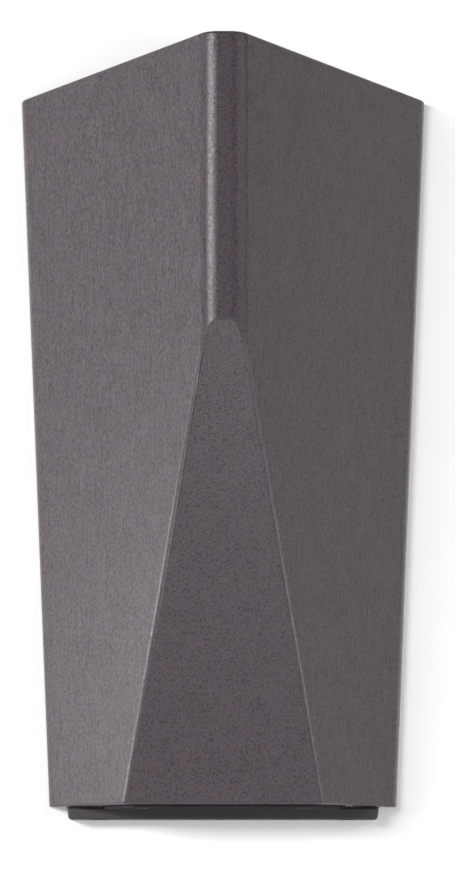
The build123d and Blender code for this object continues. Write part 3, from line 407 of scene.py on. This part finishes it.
@dataclass(frozen=True)
class CellFoam(Finish):
    """Closed-cell foam strip: small round cells with thin walls; the sunk cells are painted darker as shade.

    Attributes:
        lit_wall_colour: Colour of the walls, paler than the cells with their painted shade.
        wall_range: Distances from a cell's middle, in cells, where its wall starts and is full.
        sink_share: How deep a cell is, against its width.
    """

    cell_mm: float = 0.5
    lit_wall_colour: str = "4E4E50"
    wall_range: tuple[float, float] = (0.2, 0.7)
    sink_share: float = 1 / 3

    def surface(self, tree: bpy.types.NodeTree, place: bpy.types.NodeSocket) -> dict[str, bpy.types.Node]:
        """Sunk cells painted darker as shade, between paler walls."""
        cells = add_node(tree, "ShaderNodeTexVoronoi", {"Vector": place, "Scale": per_metre(self.cell_mm)})
        start, end = self.wall_range
        links = {"Value": cells.outputs["Distance"], "From Min": start, "From Max": end}
        wall = add_node(tree, "ShaderNodeMapRange", links)
        # Painted shade: the sunk cell middles take the darker colour, the walls the paler one
        links = {"Factor": wall, "A": linear(self.colour), "B": linear(self.lit_wall_colour)}
        colour = add_node(tree, "ShaderNodeMix", links, data_type="RGBA")
        links = {"Height": wall, "Distance": self.cell_mm * self.sink_share * MM}
        return {"Base Color": colour, "Normal": add_node(tree, "ShaderNodeBump", links)}


@dataclass(frozen=True)
class Translucent(Finish):
    """Silicone or frosted acrylic: light goes in and comes out softened.

    The etched grain is drawn coarser than the real one, which is too fine to show.
    """

    rougher: float = 0.1
    grain_mm: float = 0.2
    grain_octaves: float = 2.0
    depth_mm: float = 0.01

    def surface(self, tree: bpy.types.NodeTree, place: bpy.types.NodeSocket) -> dict[str, bpy.types.Node]:
        """Etched surface of a milky body."""
        links = {"Vector": place, "Scale": per_metre(self.grain_mm), "Detail": self.grain_octaves}
        etched = add_node(tree, "ShaderNodeTexNoise", links)
        links = {
            "Value": etched,
            "From Min": NOISE_LOW,
            "From Max": NOISE_HIGH,
            "To Min": self.roughness - self.smoother,
            "To Max": self.roughness + self.rougher,
        }
        rough = add_node(tree, "ShaderNodeMapRange", links)
        bump = add_node(tree, "ShaderNodeBump", {"Height": etched, "Distance": self.depth_mm * MM})
        return {"Roughness": rough, "Normal": bump}


@dataclass(frozen=True)
class Insulation(Finish):
    """Extruded insulation of a lead, with a second colour in two stripes where it has one.

    Attributes:
        stripe: Colour of the stripes, empty where there are none.
        stripe_range: How far sideways the surface looks where a stripe starts, and where it is full.
        drag_mm: Size of the unevenness that the extruder leaves.
    """

    smoother: float = 0.06
    stripe: str = ""
    stripe_range: tuple[float, float] = (0.62, 0.68)
    drag_mm: float = 1.5
    drag_octaves: float = 2.0
    drag_depth_mm: float = 0.02

    def surface(self, tree: bpy.types.NodeTree, place: bpy.types.NodeSocket) -> dict[str, bpy.types.Node]:
        """Faint unevenness from the extruder, and the stripes."""
        links = {"Vector": place, "Scale": per_metre(self.drag_mm), "Detail": self.drag_octaves}
        drag = add_node(tree, "ShaderNodeTexNoise", links)
        links = {
            "Value": drag,
            "From Min": NOISE_LOW,
            "From Max": NOISE_HIGH,
            "To Min": self.roughness - self.smoother,
            "To Max": self.roughness + self.rougher,
        }
        rough = add_node(tree, "ShaderNodeMapRange", links)
        bump = add_node(tree, "ShaderNodeBump", {"Height": drag, "Distance": self.drag_depth_mm * MM})
        drawn = {"Roughness": rough, "Normal": bump}
        if self.stripe:
            normal = add_node(tree, "ShaderNodeTexCoord").outputs["Normal"]
            across = add_node(tree, "ShaderNodeSeparateXYZ", {"Vector": normal}).outputs["X"]
            side = add_node(tree, "ShaderNodeMath", {0: across}, operation="ABSOLUTE")
            start, end = self.stripe_range
            band = add_node(tree, "ShaderNodeMapRange", {"Value": side, "From Min": start, "From Max": end})
            links = {"Factor": band, "A": linear(self.colour), "B": linear(self.stripe)}
            drawn["Base Color"] = add_node(tree, "ShaderNodeMix", links, data_type="RGBA")
        return drawn


# Grey-violet anthracite with a satin, sandy skin that reads paler where it faces the light; its grain has
# painted shade in the pits and a painted highlight on the crests
HOUSING_COAT = PowderCoat("powder_coat_anthracite", "464145", roughness=0.32, gloss=0.35)
# The same powder on the base, darker and duller, with an even grain because it isn't ground, and a faint
# painted shade and highlight on its pits and crests
BASE_COAT = PowderCoat(
    "powder_coat_base", "3E3A3F", roughness=0.5, gloss=0.35, lit_crest_colour="443F44", shaded_pit_colour="383439",
    grain_depth_mm=0.01, drawn_length_mm=0.5, streak_share=0.0,
)
# Bare pressure casting: pale grey, satin, with the orange-peel of the mould
CAST_ALUMINIUM = Metal("cast_aluminium", "C6C7C9", roughness=0.42, metallic=1.0, shade="A9AAAC")
# A2 machine screws: bright grey with fine turning rings
STAINLESS = Metal(
    "turned_stainless", "C9C8C4", roughness=0.28, metallic=1.0, shade="B2B1AD",
    grain=Grain.TURNED, grain_mm=0.2, depth_mm=0.006,
)
# Clamp inserts turned from brass bar: yellow, bright
BRASS = Metal(
    "turned_brass", "D4AF63", roughness=0.3, metallic=1.0, shade="B8934A",
    grain=Grain.TURNED, grain_mm=0.25, depth_mm=0.006,
)
# Crimped ring tag: tin gives a soft white sheen
TINNED = Metal(
    "tinned_copper", "D2CFC8", roughness=0.34, metallic=1.0, shade="B9B5AC", grain_mm=0.4, depth_mm=0.01,
)
# Moulded EPDM: nearly black, dull
RUBBER = Moulded("epdm_rubber", "1E1E1F", roughness=0.72, ior=1.52, shade="151516")
# PE foam strip against the wall: dark grey, without any shine; its sunk cells carry painted shade
FOAM = CellFoam("closed_cell_foam", "333335", roughness=0.9)
# Milky silicone gasket, soft to the eye
SILICONE = Translucent("milky_silicone", "E2E2DE", roughness=0.4, ior=1.41, through=0.5)
# Frosted acrylic: pale, even, no clear view of the packages behind
OPAL = Translucent("frosted_acrylic", "F1F0EC", roughness=0.5, ior=1.49, through=0.35)
# White polycarbonate reflector, satin
REFLECTOR = Moulded("white_polycarbonate", "F0F0EE", roughness=0.3, ior=1.585, shade="E6E6E3")
# White solder mask on the light source's board: smooth, with a slight gloss
SOLDER_MASK = Moulded(
    "white_solder_mask", "ECEDEA", roughness=0.35, shade="E2E4E0", grain_mm=0.4, depth_mm=0.005,
)
# Phosphor under clear silicone: warm yellow
PHOSPHOR = Moulded("phosphor_silicone", "E3BE4C", roughness=0.3, ior=1.41, shade="D7AE3A", depth_mm=0.004)
# Filled silicone sheet that carries the heat: matt blue-grey
THERMAL_PAD = Moulded("thermal_pad_silicone", "A3A7AD", roughness=0.7, shade="93979D", grain_mm=0.4)
# Diffuser frame of dark polycarbonate, eroded so matt that its edge stays a dark line
FRAME_PLASTIC = Moulded("black_frame_polycarbonate", "434046", roughness=0.85, ior=1.3, shade="3A373C")
# Driver box and lid of black polycarbonate with a fine eroded grain
DRIVER_BOX = Moulded("black_polycarbonate", "363639", roughness=0.55, ior=1.585, shade="2E2E31")
DRIVER_LID = Moulded("black_polycarbonate_lid", "3E3E42", roughness=0.5, ior=1.585, shade="36363A")
# Natural polyamide of the terminal block, slightly yellow and waxy
TERMINAL = Moulded("natural_polyamide", "E1DFD3", roughness=0.42, ior=1.53, shade="D6D3C4")
# PVC insulation in the colours of the wiring rules, with the low shine of extruded plastic
LIVE_PVC = Insulation("pvc_brown", "6B3E22", roughness=0.38, ior=1.53)
NEUTRAL_PVC = Insulation("pvc_blue", "2F63B4", roughness=0.38, ior=1.53)
EARTH_PVC = Insulation("pvc_green_yellow", "2E8B3A", roughness=0.38, ior=1.53, stripe="E6D22A")
POSITIVE_PVC = Insulation("pvc_red", "B3201E", roughness=0.38, ior=1.53)
NEGATIVE_PVC = Insulation("pvc_black", "242425", roughness=0.4, ior=1.53)


def dress(finish: Finish, *nodes: str) -> None:
    """Give CAD nodes their finish.

    Args:
        finish: The finish that they get.
        *nodes: Names of the CAD nodes.
    """
    for name in nodes:
        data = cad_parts[name].data
        if not data.materials:
            data.materials.append(finish.material())
        for index in range(len(data.materials)):
            data.materials[index] = finish.material()
        LOG.info("dressed %s in %s", name, finish.name)


def place_piece(name: str, shape: bmesh.types.BMesh, finish: Finish, body: str) -> None:
    """Turn a finished bmesh into a piece that rides on a CAD body.

    Args:
        name: The piece's name.
        shape: Its mesh, in metres in the row frame; it is freed here.
        finish: Its finish.
        body: The CAD body that it moves with.
    """
    bmesh.ops.recalc_face_normals(shape, faces=shape.faces)
    for face in shape.faces:
        face.smooth = True
    data = bpy.data.meshes.new(name)
    shape.to_mesh(data)
    shape.free()
    data.materials.append(finish.material())
    data.set_sharp_from_angle(angle=radians(CRISP_EDGE))
    piece = bpy.data.objects.new(name, data)
    bpy.context.scene.collection.objects.link(piece)
    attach(piece, body)
    LOG.info("made %s with %d faces", name, len(data.polygons))


def turned_ring(
    shape: bmesh.types.BMesh, centre: tuple[float, float], profile: list[tuple[float, float]]
) -> None:
    """Spin a closed profile around an upright axis.

    Args:
        shape: The bmesh that gets the ring.
        centre: The axis, as x and y of the row frame in millimetres.
        profile: Radius and height of each corner of the profile, in millimetres.
    """
    axis = Vector((centre[0] * MM, centre[1] * MM, 0))
    points = [shape.verts.new(axis + Vector((radius * MM, 0, height * MM))) for radius, height in profile]
    edges = [shape.edges.new((point, points[index - 1])) for index, point in enumerate(points)]
    bmesh.ops.spin(
        shape, geom=points + edges, cent=axis, axis=(0, 0, 1), angle=2 * pi, steps=RING_STEPS, use_merge=True
    )


# Sub-assemblies


@dataclass
class HousingShell:
    """The cast front housing with its powder coat."""

    def build(self) -> None:
        """Dress the shell."""
        dress(HOUSING_COAT, "front_housing")


@dataclass
class WallBase:
    """The tray on the wall with its seals and the hardware that holds the housing."""

    def build(self) -> None:
        """Dress the tray, seals, pins, screws and the earth's hardware."""
        dress(BASE_COAT, "wall_base")
        dress(FOAM, "wall_gasket")
        dress(RUBBER, "housing_seal", "cable_grommet")
        dress(STAINLESS, "locking_screws", "locking_washers", "locating_pins", "earth_washer", "earth_screw")
        dress(TINNED, "earth_ring_tag")


@dataclass
class LightEngine:
    """Light chamber, board, reflector and diffuser."""

    def build(self) -> None:
        """Dress the chamber, optics, board and screws."""
        dress(CAST_ALUMINIUM, "light_chamber")
        dress(STAINLESS, "chamber_screws", "led_board_screws", "diffuser_frame_screws")
        dress(RUBBER, "lead_grommet")
        dress(THERMAL_PAD, "thermal_pad")
        dress(SOLDER_MASK, "led_board")
        dress(PHOSPHOR, "led_packages")
        dress(REFLECTOR, "reflector")
        dress(FRAME_PLASTIC, "diffuser_frame")
        dress(OPAL, "diffuser")
        dress(SILICONE, "diffuser_gasket")


@dataclass
class PowerSupply:
    """Driver and terminal block on the tray's back wall."""

    def build(self) -> None:
        """Dress the driver, the terminal block and their screws."""
        dress(DRIVER_BOX, "driver_case")
        dress(DRIVER_LID, "driver_lid")
        dress(STAINLESS, "driver_screws", "terminal_screws", "terminal_block_screws")
        dress(TERMINAL, "terminal_block")
        dress(BRASS, "terminal_inserts")


@dataclass
class Leads:
    """The leads inside the light, with ferrule collars on the block and bushes on the driver.

    Sizes and places are in millimetres; a place is the x and y of its middle in the row frame.

    Attributes:
        bore_radius: Radius of the bores, a little over that of the leads.
        collar_bevel: How far the bevel of a collar's upper edge reaches in and down.
        bush_bevel: The same of a bush.
        bevel_share: Where the bevel's middle corner lies, against its reach.
    """

    bore_radius: float = 0.95
    bevel_share: float = 0.25
    collar_places: tuple[tuple[float, float], ...] = ((-11.0, -11.0), (0.0, -11.0), (11.0, -11.0))
    collar_foot: float = -7.9
    collar_radius: float = 1.75
    collar_height: float = 3.2
    collar_bevel: float = 0.45
    bush_places: tuple[tuple[float, float], ...] = ((-3.6, -12.25), (-8.4, -12.25))
    bush_foot: float = 82.1
    bush_radius: float = 1.9
    bush_height: float = 2.4
    bush_bevel: float = 0.6

    def build(self) -> None:
        """Add the collars and bushes and dress each lead in its colour."""
        collar = self.sleeve(self.collar_radius, self.collar_foot, self.collar_height, self.collar_bevel)
        self.rings("ferrule_collars", self.collar_places, collar, TERMINAL)
        bush = self.sleeve(self.bush_radius, self.bush_foot, self.bush_height, self.bush_bevel)
        self.rings("driver_bushes", self.bush_places, bush, RUBBER)
        dress(LIVE_PVC, "live_lead")
        dress(NEUTRAL_PVC, "neutral_lead")
        dress(EARTH_PVC, "earth_lead")
        dress(POSITIVE_PVC, "led_positive_lead")
        dress(NEGATIVE_PVC, "led_negative_lead")

    def sleeve(self, radius: float, foot: float, height: float, bevel: float) -> list[tuple[float, float]]:
        """Profile of a sleeve around a lead, its upper edge bevelled.

        Args:
            radius: Outer radius in millimetres.
            foot: Height of its lower end.
            height: Its height.
            bevel: How far the bevel reaches in and down.

        Returns:
            Radius and height of each corner.
        """
        top = foot + height
        corner = bevel * self.bevel_share
        return [
            (self.bore_radius, foot),
            (radius, foot),
            (radius, top - bevel),
            (radius - corner, top - corner),
            (radius - bevel, top),
            (self.bore_radius, top),
        ]

    def rings(
        self,
        name: str,
        places: tuple[tuple[float, float], ...],
        profile: list[tuple[float, float]],
        finish: Finish,
    ) -> None:
        """Make one piece out of equal rings on the base.

        Args:
            name: The piece's name.
            places: Where each ring's axis stands.
            profile: Radius and height of each corner of a ring.
            finish: The rings' finish.
        """
        shape = bmesh.new()
        for place in places:
            turned_ring(shape, place, profile)
        place_piece(name, shape, finish, "base")


# Studio


@dataclass(frozen=True)
class Softbox:
    """A rectangular lamp that stands around the light and points at its axis.

    Attributes:
        name: The lamp's name.
        stand: Degrees to the right of the light's front, then distance and height in metres.
        size: Its width and height in metres.
        power: Its power in watts.
        aim: Height that it points at.
        depth: Where that point lies, from zero at the wall and outwards below it.
    """

    name: str
    stand: tuple[float, float, float]
    size: tuple[float, float]
    power: float
    aim: float = -0.03
    depth: float = -0.03

    def hang(self) -> None:
        """Hang the lamp and aim it."""
        data = bpy.data.lights.new(self.name, "AREA")
        data.shape = "RECTANGLE"
        data.size, data.size_y = self.size
        data.energy = self.power
        lamp = bpy.data.objects.new(self.name, data)
        azimuth, distance, height = self.stand
        turn = radians(azimuth)
        lamp.location = (sin(turn) * distance, -cos(turn) * distance, height)
        lamp.rotation_mode = "QUATERNION"
        towards = Vector((0, self.depth, self.aim)) - lamp.location
        lamp.rotation_quaternion = towards.to_track_quat("-Z", "Y")
        bpy.context.scene.collection.objects.link(lamp)


@dataclass
class Studio:
    """White wall behind the light, white floor and soft lamps in a dark room.

    Attributes:
        wall_gap: How far the wall is behind the light's back.
        floor_drop: How far the floor is below the row frame's middle.
        room_level: Light that comes from all round.
        wall_glow: Light that the boards add to what the lamps give them.
    """

    wall_size: float = 6.0
    wall_gap: float = 0.0003
    floor_drop: float = 0.6
    room_level: float = 0.0
    wall_glow: float = 0.13
    wall_white: str = "FDFDFD"
    lamps: tuple[Softbox, ...] = (
        # Main lamp high on the left, and softer ones that even out the left side down to its foot
        Softbox("key_left", stand=(-31, 2.4, 0.38), size=(1.3, 0.36), power=39.0, aim=0.03),
        Softbox("left_band", stand=(-60, 1.2, 0.4), size=(1.0, 0.2), power=1.5, aim=0.07),
        Softbox("left_strip", stand=(-87, 1.2, -0.14), size=(0.3, 0.4), power=4.3, aim=-0.08),
        Softbox("left_low", stand=(-60, 1.2, -0.28), size=(0.6, 0.2), power=2.0, aim=-0.09),
        Softbox("left_foot", stand=(-85, 0.55, -0.085), size=(0.15, 0.06), power=0.7, aim=-0.085),
        # Weaker ones for the right side
        Softbox("fill_right", stand=(46, 1.2, 0.06), size=(0.7, 0.2), power=0.5, aim=0.06),
        Softbox("right_band", stand=(55, 1.2, 0.34), size=(1.0, 0.2), power=1.7, aim=0.07),
        Softbox("right_strip", stand=(76, 1.2, -0.1), size=(0.4, 0.4), power=1.9, aim=-0.08),
        Softbox("right_low", stand=(46, 1.2, -0.28), size=(0.6, 0.16), power=1.8, aim=-0.09),
        Softbox("right_foot", stand=(70, 0.55, -0.14), size=(0.2, 0.06), power=0.3, aim=-0.085),
        # Behind the wall, which lets them through, for the back
        Softbox("back_left", stand=(-160, 1.6, 0.5), size=(0.8, 0.6), power=12.0),
        Softbox("back_right", stand=(150, 1.6, 0.2), size=(0.8, 0.6), power=9.0),
        # Low in front, for the facet and the rim
        Softbox("front_lift", stand=(8, 1.2, -0.3), size=(0.3, 0.3), power=2.0),
    )

    def board_finish(self) -> bpy.types.Material:
        """White paint that keeps the light's shadow and shows from its front only.

        Only what the camera, mirrors or glass look at is painted, so the lamps behind shine through.
        """
        made = bpy.data.materials.new("white_backdrop")
        made.use_nodes = True
        tree = made.node_tree
        tree.nodes.clear()
        paint = add_node(tree, "ShaderNodeBsdfDiffuse", {"Color": linear(self.wall_white)})
        glow = add_node(tree, "ShaderNodeEmission", {"Color": WHITE, "Strength": self.wall_glow})
        lit = add_node(tree, "ShaderNodeAddShader", {0: paint, 1: glow})
        clear = add_node(tree, "ShaderNodeBsdfTransparent")
        rays = add_node(tree, "ShaderNodeLightPath").outputs
        links = {0: rays["Is Camera Ray"], 1: rays["Is Glossy Ray"]}
        seen = add_node(tree, "ShaderNodeMath", links, operation="MAXIMUM")
        links = {0: seen, 1: rays["Is Transmission Ray"]}
        seen = add_node(tree, "ShaderNodeMath", links, operation="MAXIMUM")
        behind = add_node(tree, "ShaderNodeNewGeometry").outputs["Backfacing"]
        front = add_node(tree, "ShaderNodeMath", {0: 1.0, 1: behind}, operation="SUBTRACT")
        shown = add_node(tree, "ShaderNodeMath", {0: seen, 1: front}, operation="MULTIPLY")
        mix = add_node(tree, "ShaderNodeMixShader", {0: shown, 1: clear, 2: lit})
        add_node(tree, "ShaderNodeOutputMaterial", {"Surface": mix})
        return made

    def board(self, name: str, turn: Matrix, finish: bpy.types.Material) -> None:
        """Set up a square board.

        Args:
            name: The board's name.
            turn: Place and turn of a board that lies flat, facing up.
            finish: Its material.
        """
        shape = bmesh.new()
        bmesh.ops.create_grid(shape, x_segments=1, y_segments=1, size=self.wall_size / 2, matrix=turn)
        data = bpy.data.meshes.new(name)
        shape.to_mesh(data)
        shape.free()
        data.materials.append(finish)
        made = bpy.data.objects.new(name, data)
        bpy.context.scene.collection.objects.link(made)

    def build(self) -> None:
        """Set up the boards, the room's light and the lamps."""
        finish = self.board_finish()
        upright = Matrix.Rotation(pi / 2, 4, "X")
        self.board("white_wall", Matrix.Translation((0, self.wall_gap, 0)) @ upright, finish)
        self.board("pale_floor", Matrix.Translation((0, 0, -self.floor_drop)), finish)
        world = bpy.data.worlds.new("dark_room")
        world.use_nodes = True
        tree = world.node_tree
        tree.nodes.clear()
        room = add_node(tree, "ShaderNodeBackground", {"Color": WHITE, "Strength": self.room_level})
        add_node(tree, "ShaderNodeOutputWorld", {"Surface": room})
        bpy.context.scene.world = world
        for lamp in self.lamps:
            lamp.hang()
        LOG.info("studio ready with %d lamps", len(self.lamps))


@dataclass
class FrontCamera:
    """Long lens a little below the light's middle, tilted up.

    Attributes:
        lens: Focal length in millimetres.
        place: Where it stands, in metres.
        tilt: How far it looks up, in radians.
        turn: How far it looks to the left, in radians.
        near: Nearest distance that it sees.
        far: Farthest distance that it sees.
    """

    lens: float = 123.29
    place: tuple[float, float, float] = (-0.00269, -0.92163, -0.14384)
    tilt: float = 0.1572
    turn: float = -0.0046
    near: float = 0.05
    far: float = 20.0

    def build(self) -> None:
        """Make the camera the scene's own."""
        data = bpy.data.cameras.new("front_camera")
        data.lens = self.lens
        data.clip_start = self.near
        data.clip_end = self.far
        camera = bpy.data.objects.new("front_camera", data)
        camera.location = self.place
        camera.rotation_euler = (pi / 2 + self.tilt, 0, self.turn)
        bpy.context.scene.collection.objects.link(camera)
        bpy.context.scene.camera = camera


def main() -> None:
    """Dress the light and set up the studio."""
    logging.basicConfig(level=logging.INFO, format="%(name)s: %(message)s")
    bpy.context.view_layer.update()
    light = (HousingShell(), WallBase(), LightEngine(), PowerSupply(), Leads())
    for assembly in (*light, Studio(), FrontCamera()):
        assembly.build()
    scene = bpy.context.scene
    scene.view_settings.view_transform = "Standard"


if __name__ == "__main__":
    main()
